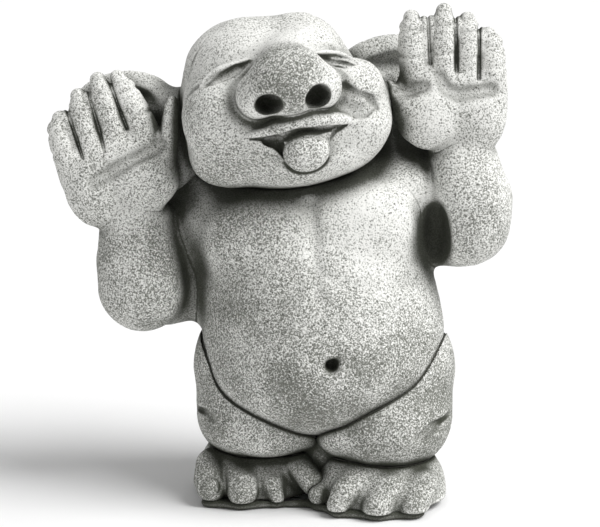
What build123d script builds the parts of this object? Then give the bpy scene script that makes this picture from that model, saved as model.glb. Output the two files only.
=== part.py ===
"""Troll garden figure of cast stone: a pot-bellied troll with raised hands, built from pinned sections.

Millimetres. X runs across the figure, Z up, and the figure faces -Y. Right and left are the figure's own:
its right side is at -X. The origin is on the underside of the base slab, below the middle of the belly.

Every stone section is a union of rounded masses. Where two sections meet, one keeps its full form and the
other is cut back from it by the thickness of a mortar bed, and a steel dowel crosses the joint in bores.
"""

import os
from dataclasses import dataclass
from math import cos, radians

from build123d import *

# Joints between sections
BED_THICK = 2.0  # mortar between two stone faces
BORE_CLEARANCE = 0.25  # radial, the film of grout round a dowel
HAND_GAP = 1.0  # air between a hand and the ear or cheek beside it
THIGH_GAP = 1.0  # air between the two legs, and between the two feet
ROD_RADIUS = 6.0  # reinforcing bar in each leg
DOWEL_RADIUS = 5.0  # bar at the neck and the shoulders
PIN_RADIUS = 3.0  # bar at the wrists and the ears
ROD_SEAT = 3.0  # depth of each leg bar's foot in the base slab

# Pose
UPPER_LEAN = 10.0  # degrees, the upper body tips to the figure's right
HEAD_YAW = 7.0  # degrees, the face turns to the figure's left
HAND_SPLAY = 7.0  # degrees, each hand tips outwards
ARM_RAISE = 4.5  # the left arm is this much higher, and the right this much lower, than the middle
FOOT_STEP = 28.0  # the left foot stands this far in front of the right
LEG_STEP = 16.0  # and the left leg this far in front of the right
FOOT_TURN = 14.0  # degrees, the left foot turns inwards

# Base slab
BASE_THICK = 6.0
BASE_RIM = 3.0

# Feet
FOOT_HALF_WIDTH = 51.0
FOOT_HALF_LENGTH = 54.0
FOOT_HEIGHT = 44.0
FOOT_SPREAD = {"right": 55.0, "left": 46.0}
FOOT_SETBACK = 6.0  # right foot's middle, behind the origin
TOE_COUNT = 4
TOE_PITCH = 26.0
TOE_HALF_WIDTH = 13.5
TOE_HALF_LENGTH = 28.0
TOE_HALF_HEIGHT = 17.0
TOE_REACH = 4.0  # a toe's tip, past the front of the foot
TOE_FAN = 6.0  # degrees between neighbouring toes

# Legs
THIGH_HALF_WIDTH = 56.0
THIGH_HALF_DEPTH = 68.0
THIGH_HALF_HEIGHT = 40.0
HIP_HALF_WIDTH = 60.0
HIP_HALF_DEPTH = 66.0
HIP_HALF_HEIGHT = 50.0
LEG_SPREAD = 51.0
LEG_SETBACK = 4.0  # right leg's middle, behind the origin
ANKLE_SINK = 20.0  # how far the thigh roll comes down over the top of the foot
HIP_RISE = 35.0  # hip mass above the thigh roll

# Torso
BELLY_HALF_WIDTH = 102.0
BELLY_HALF_DEPTH = 88.0
BELLY_HALF_HEIGHT = 84.0
BELLY_RISE = 31.0  # belly above the hips
PAUNCH_HALF_WIDTH = 94.0
PAUNCH_HALF_DEPTH = 78.0
PAUNCH_HALF_HEIGHT = 64.0
PAUNCH_DROP = 18.0  # the sagging lower belly, below the belly's middle
PAUNCH_FORWARD = 12.0
CHEST_HALF_WIDTH = 95.0
CHEST_HALF_DEPTH = 68.0
CHEST_HALF_HEIGHT = 70.0
CHEST_RISE = 84.0  # chest above the belly, along the lean
CHEST_SETBACK = 12.0
MIDRIFF_HALF_WIDTH = 97.0
MIDRIFF_HALF_DEPTH = 80.0
MIDRIFF_HALF_HEIGHT = 68.0
MIDRIFF_RISE = 44.0  # fills the waist between belly and chest
MIDRIFF_SETBACK = 5.0
PEC_HALF_WIDTH = 47.0
PEC_HALF_DEPTH = 28.0
PEC_HALF_HEIGHT = 36.0
PEC_SPREAD = {"right": 40.0, "left": 50.0}
PEC_RISE = 12.0  # breast above the chest's middle
PEC_FORWARD = 42.0  # breast in front of the chest's middle
SHOULDER_RADIUS = 34.0
SHOULDER_INSET = 18.0  # shoulder's middle, in from the side of the chest
SHOULDER_RISE = 22.0  # shoulder above the chest

# Arms
UPPER_ARM_RADIUS = 30.0
UPPER_ARM_DROP = 8.0  # upper arm's start, below the shoulder's middle
FOREARM_RADIUS = 39.0
FOREARM_LENGTH = 20.0  # from the elbow's middle to the wrist's middle
FOREARM_REACH = 58.0  # out from the shoulder
FOREARM_DROP = 20.5  # forearm's middle, down from the shoulder
FOREARM_FORWARD = 22.0

# Hands, upright with the palm to the front
PALM_HALF_WIDTH = 44.0
PALM_HALF_DEPTH = 19.0
PALM_HALF_HEIGHT = 42.0
PALM_RISE = 81.5  # palm's middle above the forearm's
PALM_SHIFT = {"right": 12.0, "left": 4.0}  # out from the forearm's middle
HEEL_HALF_HEIGHT = 22.0
HEEL_DROP = 18.0  # heel of the hand below the palm's middle
FINGER_LENGTHS = (68.0, 70.0, 64.0, 54.0)  # index to little finger
FINGER_ROOTS = (15.0, 17.0, 13.0, 10.0)  # height of each finger's root in the palm
FINGER_RADIUS = 11.0
FINGERTIP_RADIUS = 8.5
FINGER_PITCH = 21.0
FINGER_CONVERGE = {"right": 4.0, "left": 0.7}  # degrees, each finger towards the middle of the hand
THUMB_LENGTH = {"right": 66.0, "left": 50.0}
THUMB_RADIUS = 13.0
THUMBTIP_RADIUS = 8.0
THUMB_INSET = 11.0  # thumb's root, in from the side of the palm
THUMB_DROP = 11.0  # thumb's root below the palm's middle
THUMB_SPLAY = 25.0  # degrees, towards the head

# Head, in a frame at the jowls that turns with the face
JOWL_HALF_WIDTH = 85.0
JOWL_HALF_DEPTH = 72.0
JOWL_HALF_HEIGHT = 44.0
JOWL_RISE = 94.0  # jowls above the chest
JOWL_FORWARD = 24.0  # jowls in front of the chest
SKULL_HALF_WIDTH = 75.0
SKULL_HALF_DEPTH = 73.0
SKULL_HALF_HEIGHT = 60.0
SKULL_RISE = 34.0
SKULL_SETBACK = 10.0
SKULL_SHIFT = 6.0  # skull's middle, towards the figure's right
CROWN_HALF_WIDTH = {"right": 45.0, "left": 35.0}  # the two lumps on top of the skull
CROWN_HALF_DEPTH = 52.0
CROWN_HALF_HEIGHT = {"right": 35.0, "left": 31.0}
CROWN_SPREAD = {"right": 26.0, "left": 22.0}
CROWN_RISE = 62.0
CROWN_SETBACK = 3.0
CHIN_HALF_WIDTH = 60.0
CHIN_HALF_DEPTH = 46.0
CHIN_HALF_HEIGHT = 26.0
CHIN_DROP = 17.0
CHIN_FORWARD = 22.0
CHIN_SHIFT = 8.0  # chin's middle, towards the figure's left
MUZZLE_HALF_WIDTH = 46.0  # the bulge round the mouth
MUZZLE_HALF_DEPTH = 34.0
MUZZLE_HALF_HEIGHT = 25.0
MUZZLE_RISE = 9.0
MUZZLE_SHIFT = 4.0  # towards the figure's left
MUZZLE_SETBACK = 22.0  # behind the front of the jowls
NOSE_HALF_WIDTH = 32.0
NOSE_HALF_DEPTH = 30.0
NOSE_HALF_HEIGHT = 25.0
NOSE_RISE = 49.0
NOSE_PROUD = 13.0  # nose's middle, in front of the jowls' front
BRIDGE_HALF_WIDTH = 25.0
BRIDGE_HALF_DEPTH = 34.0
BRIDGE_HALF_HEIGHT = 25.0
BRIDGE_RISE = 8.0  # bridge above the nose
BRIDGE_SETBACK = 25.0  # bridge behind the nose
WING_HALF_WIDTH = 18.0
WING_HALF_DEPTH = 23.0
WING_SPREAD = 24.0
WING_DROP = 11.0
WING_SETBACK = 9.0
NOSTRIL_RADIUS = 9.0
NOSTRIL_DEPTH = 18.0
NOSTRIL_SPREAD = 18.0
NOSTRIL_DROP = 15.0
LIP_HALF_WIDTH = 42.0
LIP_HALF_DEPTH = 14.0
LIP_HALF_HEIGHT = 8.0
LIP_RISE = 15.0
MOUTH_HALF_WIDTH = 38.0
MOUTH_HALF_HEIGHT = 6.5
MOUTH_DEPTH = 14.0
MOUTH_RISE = 4.0
TONGUE_HALF_WIDTH = 18.0
TONGUE_HALF_DEPTH = 15.0
TONGUE_HALF_HEIGHT = 16.0
TONGUE_DROP = 10.0
TONGUE_SHIFT = 6.0  # towards the figure's left
CHEEK_HALF_WIDTH = {"right": 33.0, "left": 28.0}
CHEEK_HALF_DEPTH = {"right": 36.0, "left": 31.0}
CHEEK_HALF_HEIGHT = {"right": 31.0, "left": 23.0}
CHEEK_SPREAD = {"right": 51.0, "left": 56.0}
CHEEK_RISE = 28.0
CHEEK_SETBACK = 37.0  # behind the front of the jowls
SMILE_HALF_WIDTH = 27.0  # the second bulge of the smiling cheek, below the left cheek
SMILE_HALF_DEPTH = 31.0
SMILE_HALF_HEIGHT = 25.0
SMILE_DROP = 28.0  # below the left cheek
EYE_HALF_WIDTH = 22.0
EYE_HALF_HEIGHT = 3.5
EYE_DEPTH = 7.0
EYE_SPREAD = 46.0
EYE_RISE = 57.0
EYE_SLANT = 16.0  # degrees, outer corners down

# Ears
EAR_HALF_WIDTH = 56.0
EAR_HALF_HEIGHT = 34.0
EAR_THICK = 24.0
EAR_ROUNDING = 9.0  # radius round the rim of the ear
EAR_REACH = 20.0  # ear's middle, out from the side of the jowls
EAR_RISE = 26.0
EAR_SETBACK = 46.0  # ear's middle, behind the jowls'
EAR_WALL = 12.0  # rim left round the hollow of the ear
EAR_HOLLOW_DEPTH = 10.0

SIDES = {"right": -1, "left": 1}

# Turns of a round mass's seam and poles, which leave its shape as it is; the first that cuts well is used
SEAM_TURNS = ((0, 0, 90), (90, 0, 0), (35, 20, 0), (70, 40, 15), (15, 75, 30))
VOLUME_SLACK = 1e-3


@dataclass(frozen=True)
class Ball:
    """A rounded mass: an ellipsoid with its middle, half-sizes and turn in some frame."""

    middle: tuple
    half: tuple
    turn: tuple = (0.0, 0.0, 0.0)


def ball_solid(frame, ball, grow=0.0, seam=SEAM_TURNS[0]):
    half = tuple(size + grow for size in ball.half)
    return frame * Pos(*ball.middle) * Rot(*ball.turn) * scale(Rot(*seam) * Sphere(1), by=half)


def form(frame, balls, grow=0.0, seam=SEAM_TURNS[0]):
    """The union of several rounded masses, each made larger all round by grow."""
    return Part() + [ball_solid(frame, ball, grow, seam) for ball in balls]


def forms(frame, balls, grow=0.0):
    """The same form again and again, each time with its seams turned another way."""
    for seam in SEAM_TURNS:
        yield form(frame, balls, grow, seam)


def parted(whole, cutters):
    """What lies outside a cutter and what lies inside it. The two have to add up to the whole."""
    for cutter in cutters:
        outside = whole - cutter
        inside = whole & cutter
        adds_up = abs(outside.volume + inside.volume - whole.volume) < VOLUME_SLACK * whole.volume
        if adds_up and inside.volume < (1 + VOLUME_SLACK) * cutter.volume:
            return outside, inside
    raise ValueError("a section could not be cut to its neighbour's form")


def round_rod(frame, length, root_radius, tip_radius):
    """A tapered rod with a round tip, standing along the frame's Z."""
    tip_start = length - tip_radius
    with BuildSketch(Plane.XZ) as profile:
        with BuildLine():
            Line((0, 0), (root_radius, 0))
            Line((root_radius, 0), (tip_radius, tip_start))
            RadiusArc((tip_radius, tip_start), (0, length), -tip_radius)
            Line((0, length), (0, 0))
        make_face()
    return frame * revolve(profile.sketch, Axis.Z)


def bar(start, end, radius, spin=0.0):
    """A round bar between two points, spun about its own axis."""
    axis = Vector(*end) - Vector(*start)
    cylinder = Cylinder(radius, axis.length, align=(Align.CENTER, Align.CENTER, Align.MIN))
    return Plane(origin=start, z_dir=axis) * Rot(0, 0, spin) * cylinder


def round_bar(start, end, radius):
    """A round bar with a round end about each of its two points."""
    return bar(start, end, radius) + [Pos(*start) * Sphere(radius), Pos(*end) * Sphere(radius)]


def bores(start, end, radius):
    """The same bore again and again, each time with its seam turned another way."""
    for seam in SEAM_TURNS:
        yield bar(start, end, radius, sum(seam))


def largest(shape):
    """The biggest solid of a cut, so that slivers beyond a joint don't stay behind."""
    return max(shape.solids(), key=lambda solid: solid.volume)


def point(frame, x, y, z):
    """A point of a frame, in the figure's own frame."""
    return tuple((frame * Pos(x, y, z)).position)


def half_space(side, gap):
    """A large block on one side of the figure's middle plane, half a gap away from it."""
    reach = 4 * (BELLY_HALF_WIDTH + FOREARM_REACH)
    return Pos(side * (reach + gap) / 2, 0, 0) * Box(reach, reach, reach)


def block_above(height):
    """A large block whose underside is at a height."""
    reach = 4 * (BELLY_HALF_WIDTH + FOREARM_REACH)
    return Pos(0, 0, height + reach / 2) * Box(reach, reach, reach)


# Heights of the stack from the slab to the head, and the frames that lean and turn
THIGH_Z = BASE_THICK + FOOT_HEIGHT - ANKLE_SINK + THIGH_HALF_HEIGHT
HIP_Z = THIGH_Z + HIP_RISE
BELLY_Z = HIP_Z + BELLY_RISE
UPPER = Pos(0, 0, BELLY_Z) * Rot(0, -UPPER_LEAN, 0)
HEAD = UPPER * Pos(0, CHEST_SETBACK - JOWL_FORWARD, CHEST_RISE + JOWL_RISE) * Rot(0, 0, HEAD_YAW)
FACE_Y = -JOWL_HALF_DEPTH
NOSE_Y = FACE_Y - NOSE_PROUD
LIPS_Y = FACE_Y + MUZZLE_SETBACK - MUZZLE_HALF_DEPTH

BELLY = Ball((0, 0, 0), (BELLY_HALF_WIDTH, BELLY_HALF_DEPTH, BELLY_HALF_HEIGHT))
PAUNCH = Ball(
    (0, -PAUNCH_FORWARD, -PAUNCH_DROP), (PAUNCH_HALF_WIDTH, PAUNCH_HALF_DEPTH, PAUNCH_HALF_HEIGHT)
)
CHEST = Ball((0, CHEST_SETBACK, CHEST_RISE), (CHEST_HALF_WIDTH, CHEST_HALF_DEPTH, CHEST_HALF_HEIGHT))
MIDRIFF = Ball(
    (0, MIDRIFF_SETBACK, MIDRIFF_RISE), (MIDRIFF_HALF_WIDTH, MIDRIFF_HALF_DEPTH, MIDRIFF_HALF_HEIGHT)
)
JOWL = Ball((0, 0, 0), (JOWL_HALF_WIDTH, JOWL_HALF_DEPTH, JOWL_HALF_HEIGHT))
SKULL = Ball(
    (-SKULL_SHIFT, SKULL_SETBACK, SKULL_RISE), (SKULL_HALF_WIDTH, SKULL_HALF_DEPTH, SKULL_HALF_HEIGHT)
)
CHIN = Ball(
    (CHIN_SHIFT, -CHIN_FORWARD, -CHIN_DROP), (CHIN_HALF_WIDTH, CHIN_HALF_DEPTH, CHIN_HALF_HEIGHT)
)
HEAD_CORE = (JOWL, SKULL, CHIN)


def shoulder_middle(side):
    return side * (CHEST_HALF_WIDTH - SHOULDER_INSET), CHEST_SETBACK, CHEST_RISE + SHOULDER_RISE


def shoulder(side):
    return Ball(shoulder_middle(side), (SHOULDER_RADIUS,) * 3)


def pec(name):
    """One breast, which stands out from the front of the chest."""
    middle = (SIDES[name] * PEC_SPREAD[name], CHEST_SETBACK - PEC_FORWARD, CHEST_RISE + PEC_RISE)
    return Ball(middle, (PEC_HALF_WIDTH, PEC_HALF_DEPTH, PEC_HALF_HEIGHT))


def torso_balls():
    shoulders = [shoulder(side) for side in SIDES.values()]
    return BELLY, PAUNCH, MIDRIFF, CHEST, *shoulders, *(pec(name) for name in SIDES)


def arm_frame(side):
    """A frame at the shoulder, moved up or down by the raise of that arm."""
    x, y, z = shoulder_middle(side)
    return UPPER * Pos(x, y, z + side * ARM_RAISE)


def make_arm(side):
    """A thick upper arm from the shoulder to the elbow, and a forearm that stands up from there."""
    frame = arm_frame(side)
    start = point(frame, 0, 0, -UPPER_ARM_DROP)
    elbow = point(frame, side * FOREARM_REACH, -FOREARM_FORWARD, -FOREARM_DROP - FOREARM_LENGTH / 2)
    wrist = point(frame, side * FOREARM_REACH, -FOREARM_FORWARD, -FOREARM_DROP + FOREARM_LENGTH / 2)
    return round_bar(start, elbow, UPPER_ARM_RADIUS) + round_bar(elbow, wrist, FOREARM_RADIUS)


def hand_frame(name):
    """A frame at the middle of the palm, tipped outwards."""
    side = SIDES[name]
    across = side * (FOREARM_REACH + PALM_SHIFT[name])
    palm = Pos(across, -FOREARM_FORWARD, PALM_RISE - FOREARM_DROP)
    return arm_frame(side) * palm * Rot(0, side * HAND_SPLAY, 0)


def hand_core():
    palm = Ball((0, 0, 0), (PALM_HALF_WIDTH, PALM_HALF_DEPTH, PALM_HALF_HEIGHT))
    heel = Ball((0, 0, -HEEL_DROP), (PALM_HALF_WIDTH - THUMB_INSET, PALM_HALF_DEPTH, HEEL_HALF_HEIGHT))
    return palm, heel


def leg_frame(side):
    step = LEG_STEP if side > 0 else 0.0
    return Pos(side * LEG_SPREAD, LEG_SETBACK - step, THIGH_Z)


def leg_balls():
    thigh = Ball((0, 0, 0), (THIGH_HALF_WIDTH, THIGH_HALF_DEPTH, THIGH_HALF_HEIGHT))
    hip = Ball((0, 0, HIP_RISE), (HIP_HALF_WIDTH, HIP_HALF_DEPTH, HIP_HALF_HEIGHT))
    return thigh, hip


def foot_frame(name):
    side = SIDES[name]
    step, turn = (FOOT_STEP, FOOT_TURN) if side > 0 else (0.0, 0.0)
    return Pos(side * FOOT_SPREAD[name], FOOT_SETBACK - step, BASE_THICK) * Rot(0, 0, -turn)


def toe_places():
    """Middle across, middle front to back and turn of each toe, in the foot's frame."""
    for index in range(TOE_COUNT):
        steps = index - (TOE_COUNT - 1) / 2
        across = steps * TOE_PITCH
        droop = (1 - min(1.0, (across / FOOT_HALF_WIDTH) ** 2) / 2) ** 0.5
        front = -FOOT_HALF_LENGTH * droop - TOE_REACH
        turn = steps * TOE_FAN
        yield across, front + TOE_HALF_LENGTH * cos(radians(turn)), turn


def foot_balls():
    body = Ball((0, 0, 0), (FOOT_HALF_WIDTH, FOOT_HALF_LENGTH, FOOT_HEIGHT))
    toe_half = (TOE_HALF_WIDTH, TOE_HALF_LENGTH, TOE_HALF_HEIGHT)
    toes = [
        Ball((across, front, TOE_HALF_HEIGHT), toe_half, (0, 0, turn)) for across, front, turn in toe_places()
    ]
    return body, *toes


def make_base():
    """A thin slab that follows the outline of the two feet."""
    outline = Sketch()
    for name in SIDES:
        width = FOOT_HALF_WIDTH + BASE_RIM
        length = FOOT_HALF_LENGTH + TOE_REACH + BASE_RIM
        outline += Pos(0, 0, -BASE_THICK) * foot_frame(name) * Ellipse(width, length)
    web = Pos(0, FOOT_SETBACK - FOOT_STEP / 2) * Rectangle(2 * FOOT_HALF_WIDTH, FOOT_HALF_LENGTH)
    return extrude(outline + web, BASE_THICK)


def cheek(name):
    """The bulge under one eye."""
    middle = (SIDES[name] * CHEEK_SPREAD[name], FACE_Y + CHEEK_SETBACK, CHEEK_RISE)
    return Ball(middle, (CHEEK_HALF_WIDTH[name], CHEEK_HALF_DEPTH[name], CHEEK_HALF_HEIGHT[name]))


def crown(name):
    """One of the two lumps on top of the skull."""
    middle = (SIDES[name] * CROWN_SPREAD[name], CROWN_SETBACK, CROWN_RISE)
    return Ball(middle, (CROWN_HALF_WIDTH[name], CROWN_HALF_DEPTH, CROWN_HALF_HEIGHT[name]))


def nose_balls():
    seam_in_front = (0, 0, 180)  # half a turn takes the bulb's seam clear of its join with the face
    bulb = Ball((0, NOSE_Y, NOSE_RISE), (NOSE_HALF_WIDTH, NOSE_HALF_DEPTH, NOSE_HALF_HEIGHT), seam_in_front)
    bridge = Ball(
        (0, NOSE_Y + BRIDGE_SETBACK, NOSE_RISE + BRIDGE_RISE),
        (BRIDGE_HALF_WIDTH, BRIDGE_HALF_DEPTH, BRIDGE_HALF_HEIGHT),
    )
    wings = [
        Ball(
            (side * WING_SPREAD, NOSE_Y + WING_SETBACK, NOSE_RISE - WING_DROP),
            (WING_HALF_WIDTH, WING_HALF_DEPTH, WING_HALF_WIDTH),
        )
        for side in SIDES.values()
    ]
    return bulb, bridge, *wings


def nostril(side):
    """A round hole from the front of the nose, with a round end."""
    across, height = side * NOSTRIL_SPREAD, NOSE_RISE - NOSTRIL_DROP
    front = NOSE_Y - NOSE_HALF_DEPTH
    start = point(HEAD, across, front - NOSTRIL_RADIUS, height)
    end = point(HEAD, across, front + NOSTRIL_DEPTH, height)
    return round_bar(start, end, NOSTRIL_RADIUS)


def eye_slit(side):
    """A slit on the skull, whose front at the eye's height and spread sets how deep it starts."""
    across = (side * EYE_SPREAD + SKULL_SHIFT) / SKULL_HALF_WIDTH
    up = (EYE_RISE - SKULL_RISE) / SKULL_HALF_HEIGHT
    front = SKULL_SETBACK - SKULL_HALF_DEPTH * max(1 - across**2 - up**2, 0.0) ** 0.5
    half = (EYE_HALF_WIDTH, EYE_DEPTH, EYE_HALF_HEIGHT)
    return Ball((side * EYE_SPREAD, front, EYE_RISE), half, (0, side * EYE_SLANT, 0))


def make_head():
    muzzle = Ball(
        (MUZZLE_SHIFT, FACE_Y + MUZZLE_SETBACK, MUZZLE_RISE),
        (MUZZLE_HALF_WIDTH, MUZZLE_HALF_DEPTH, MUZZLE_HALF_HEIGHT),
    )
    smile = Ball(
        (CHEEK_SPREAD["left"], FACE_Y + CHEEK_SETBACK, CHEEK_RISE - SMILE_DROP),
        (SMILE_HALF_WIDTH, SMILE_HALF_DEPTH, SMILE_HALF_HEIGHT),
    )
    lip = Ball(
        (MUZZLE_SHIFT, LIPS_Y + LIP_HALF_DEPTH / 2, LIP_RISE),
        (LIP_HALF_WIDTH, LIP_HALF_DEPTH, LIP_HALF_HEIGHT),
    )
    mouth = Ball((MUZZLE_SHIFT, LIPS_Y, MOUTH_RISE), (MOUTH_HALF_WIDTH, MOUTH_DEPTH, MOUTH_HALF_HEIGHT))
    tongue = Ball(
        (TONGUE_SHIFT, LIPS_Y + TONGUE_HALF_DEPTH / 2, MOUTH_RISE - TONGUE_DROP),
        (TONGUE_HALF_WIDTH, TONGUE_HALF_DEPTH, TONGUE_HALF_HEIGHT),
    )
    masses = [*HEAD_CORE, *nose_balls(), muzzle, smile, lip]
    hollows = [ball_solid(HEAD, mouth)]
    for name, side in SIDES.items():
        masses += [cheek(name), crown(name)]
        hollows += [nostril(side), ball_solid(HEAD, eye_slit(side))]
    head = form(HEAD, masses)
    for hollow in hollows:
        head = head - hollow
    return head + ball_solid(HEAD, tongue)


def make_hand(name):
    side = SIDES[name]
    frame = hand_frame(name)
    core = form(frame, hand_core())
    digits = []
    count = len(FINGER_LENGTHS)
    for index, (length, root) in enumerate(zip(FINGER_LENGTHS, FINGER_ROOTS)):
        steps = index - (count - 1) / 2
        across = side * steps * FINGER_PITCH
        lean = Rot(0, -side * steps * FINGER_CONVERGE[name], 0)
        digits.append(
            round_rod(frame * Pos(across, 0, root) * lean, length, FINGER_RADIUS, FINGERTIP_RADIUS)
        )
    thumb_root = Pos(-side * (PALM_HALF_WIDTH - THUMB_INSET), 0, -THUMB_DROP) * Rot(0, -side * THUMB_SPLAY, 0)
    digits.append(round_rod(frame * thumb_root, THUMB_LENGTH[name], THUMB_RADIUS, THUMBTIP_RADIUS))
    return core + digits


def ear_frame(side):
    return HEAD * Pos(side * (JOWL_HALF_WIDTH + EAR_REACH), EAR_SETBACK, EAR_RISE)


def make_ear(side):
    """An oval flap with a rounded rim and a hollow in its front."""
    oval = Plane.XZ * Ellipse(EAR_HALF_WIDTH, EAR_HALF_HEIGHT)
    flap = extrude(oval, EAR_THICK / 2, both=True)
    flap = fillet(flap.edges(), EAR_ROUNDING)
    pocket = Plane.XZ * Ellipse(EAR_HALF_WIDTH - EAR_WALL, EAR_HALF_HEIGHT - EAR_WALL)
    hollow = Pos(0, -EAR_THICK / 2, 0) * extrude(pocket, EAR_HOLLOW_DEPTH, both=True)
    return ear_frame(side) * (flap - hollow)


def bedded(raw, frame, balls):
    """A section cut back from a neighbour's form, and the mortar bed that fills the cut."""
    kept, removed = parted(raw, forms(frame, balls, BED_THICK))
    return largest(kept), largest(parted(removed, forms(frame, balls))[0])


def build():
    """Every piece of the figure by its name, before the bores are drilled."""
    pieces = {"base_slab": make_base(), "head": make_head()}
    pieces["torso"], pieces["neck_mortar_bed"] = bedded(form(UPPER, torso_balls()), HEAD, HEAD_CORE)
    for name, side in SIDES.items():
        own_side = half_space(side, THIGH_GAP)
        leg = form(leg_frame(side), leg_balls()) & own_side
        pieces[f"{name}_leg"], pieces[f"{name}_hip_mortar_bed"] = bedded(leg, UPPER, (BELLY, PAUNCH))

        foot = form(foot_frame(name), foot_balls()) & block_above(BASE_THICK)
        if name == "right":
            foot = parted(foot, forms(foot_frame("left"), foot_balls(), THIGH_GAP))[0]
        foot, pieces[f"{name}_ankle_mortar_bed"] = bedded(foot, leg_frame(side), leg_balls())
        sole = block_above(BASE_THICK + BED_THICK)
        pieces[f"{name}_foot_mortar_bed"] = largest(foot - sole)
        pieces[f"{name}_foot"] = largest(foot & sole)

        beside = (*HEAD_CORE, cheek(name))
        pieces[f"{name}_hand"] = largest(parted(make_hand(name), forms(HEAD, beside, HAND_GAP))[0])
        arm, pieces[f"{name}_wrist_mortar_bed"] = bedded(make_arm(side), hand_frame(name), hand_core())
        beside = (MIDRIFF, CHEST, shoulder(side), pec(name))
        pieces[f"{name}_arm"], pieces[f"{name}_shoulder_mortar_bed"] = bedded(arm, UPPER, beside)

        ear = parted(make_ear(side), forms(hand_frame(name), hand_core(), HAND_GAP))[0]
        pieces[f"{name}_ear"], pieces[f"{name}_ear_mortar_bed"] = bedded(ear, HEAD, HEAD_CORE)
    return pieces


def dowels():
    """Each steel bar: its two ends, its radius and the pieces that it passes through."""
    neck_low = point(UPPER, 0, CHEST_SETBACK, CHEST_RISE)
    neck_high = point(HEAD, 0, 0, 0)
    yield "neck_dowel", neck_low, neck_high, DOWEL_RADIUS, ("torso", "head", "neck_mortar_bed")
    for name, side in SIDES.items():
        low = (side * LEG_SPREAD, LEG_SETBACK, BASE_THICK - ROD_SEAT)
        high = (side * LEG_SPREAD, LEG_SETBACK, BELLY_Z)
        crossed = ("base_slab", f"{name}_foot", f"{name}_leg", "torso")
        beds = tuple(f"{name}_{place}_mortar_bed" for place in ("foot", "ankle", "hip"))
        yield f"{name}_leg_rod", low, high, ROD_RADIUS, crossed + beds

        x, y, z = shoulder_middle(side)
        inner = point(UPPER, x / 2, y, z)
        outer = point(arm_frame(side), side * FOREARM_REACH / 2, -FOREARM_FORWARD / 2, -FOREARM_DROP)
        crossed = ("torso", f"{name}_arm", f"{name}_shoulder_mortar_bed")
        yield f"{name}_shoulder_dowel", inner, outer, DOWEL_RADIUS, crossed

        low = point(arm_frame(side), side * FOREARM_REACH, -FOREARM_FORWARD, -FOREARM_DROP)
        high = point(hand_frame(name), 0, 0, 0)
        crossed = (f"{name}_arm", f"{name}_hand", f"{name}_wrist_mortar_bed")
        yield f"{name}_wrist_pin", low, high, PIN_RADIUS, crossed

        inner = point(HEAD, side * JOWL_HALF_WIDTH / 2, EAR_SETBACK + EAR_THICK / 4, EAR_RISE)
        outer = point(ear_frame(side), 0, EAR_THICK / 4, 0)
        crossed = ("head", f"{name}_ear", f"{name}_ear_mortar_bed")
        yield f"{name}_ear_pin", inner, outer, PIN_RADIUS, crossed


def main():
    pieces = build()
    for name, start, end, radius, crossed in dowels():
        for piece in crossed:
            pieces[piece] = parted(pieces[piece], bores(start, end, radius + BORE_CLEARANCE))[0]
        pieces[name] = bar(start, end, radius)
    os.makedirs("parts", exist_ok=True)
    for name, piece in pieces.items():
        export_step(piece, f"parts/{name}.step")


main()
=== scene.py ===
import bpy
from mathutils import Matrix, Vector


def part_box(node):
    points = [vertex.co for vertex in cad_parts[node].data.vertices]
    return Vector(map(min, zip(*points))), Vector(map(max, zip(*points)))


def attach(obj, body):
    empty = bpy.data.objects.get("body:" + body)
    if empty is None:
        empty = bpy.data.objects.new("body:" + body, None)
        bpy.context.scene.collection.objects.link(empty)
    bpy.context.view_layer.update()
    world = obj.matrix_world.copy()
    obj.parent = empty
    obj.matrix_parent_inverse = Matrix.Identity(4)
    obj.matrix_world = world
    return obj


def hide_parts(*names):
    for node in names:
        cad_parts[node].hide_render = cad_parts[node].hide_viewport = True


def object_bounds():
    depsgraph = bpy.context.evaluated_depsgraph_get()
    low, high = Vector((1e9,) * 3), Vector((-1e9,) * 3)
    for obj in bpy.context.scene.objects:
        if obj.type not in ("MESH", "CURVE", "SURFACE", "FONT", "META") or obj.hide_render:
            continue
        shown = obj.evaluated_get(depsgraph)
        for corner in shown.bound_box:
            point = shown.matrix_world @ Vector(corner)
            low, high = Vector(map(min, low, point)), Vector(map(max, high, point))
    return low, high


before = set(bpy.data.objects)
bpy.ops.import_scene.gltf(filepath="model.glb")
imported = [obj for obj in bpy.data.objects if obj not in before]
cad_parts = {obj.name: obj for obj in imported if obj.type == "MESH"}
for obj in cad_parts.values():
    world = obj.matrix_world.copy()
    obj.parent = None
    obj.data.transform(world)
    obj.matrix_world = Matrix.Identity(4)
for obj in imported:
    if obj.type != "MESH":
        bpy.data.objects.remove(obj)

# Looks of the cast-stone troll. Each stone section is sculpted as a distance field over its CAD section:
# rounded masses are merged, creases are carved in, and the field is meshed. Sculpting is in millimetres, in
# frames that sit on the CAD sections' boxes; x runs to the figure's left, y to its back and z up.

from concurrent.futures import ThreadPoolExecutor

import bpy
import numpy as np
import openvdb
from mathutils import Vector

cad_low, cad_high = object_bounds()

MM = 0.001
MARGIN = 45.0  # room round a CAD section's box for its sculpted form
BED = 1.6  # joint between two sections, filled with mortar
GAP = 0.25  # hairline between two pieces that touch
RECESS = 1.6  # mortar's face below the stone's
HIDDEN_RIM = 5.0  # at shoulders and wrists the mortar ends this far below the surface
RUBBED_SHUT = 0.5  # there the cast skin of each section is worked over the joint by this much
SOLE_RIM = 1.2  # mortar under a foot ends this far inside it
EDGE = 1.2  # rounding of a section's edge at an open joint

UPPER_LEAN = 10.0  # degrees, the upper body tips to the figure's right
HEAD_YAW = 7.0  # degrees, the face turns to the figure's left
HAND_SPLAY = 7.0  # degrees, each hand tips outwards
FOOT_TURN = 14.0  # degrees, the left foot turns inwards
CAMERA_RISE = 12.0  # degrees, the camera looks down from this far above the horizon


def box_middle(node):
    low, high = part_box(node)
    return np.array((low + high) / 2) / MM


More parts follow.
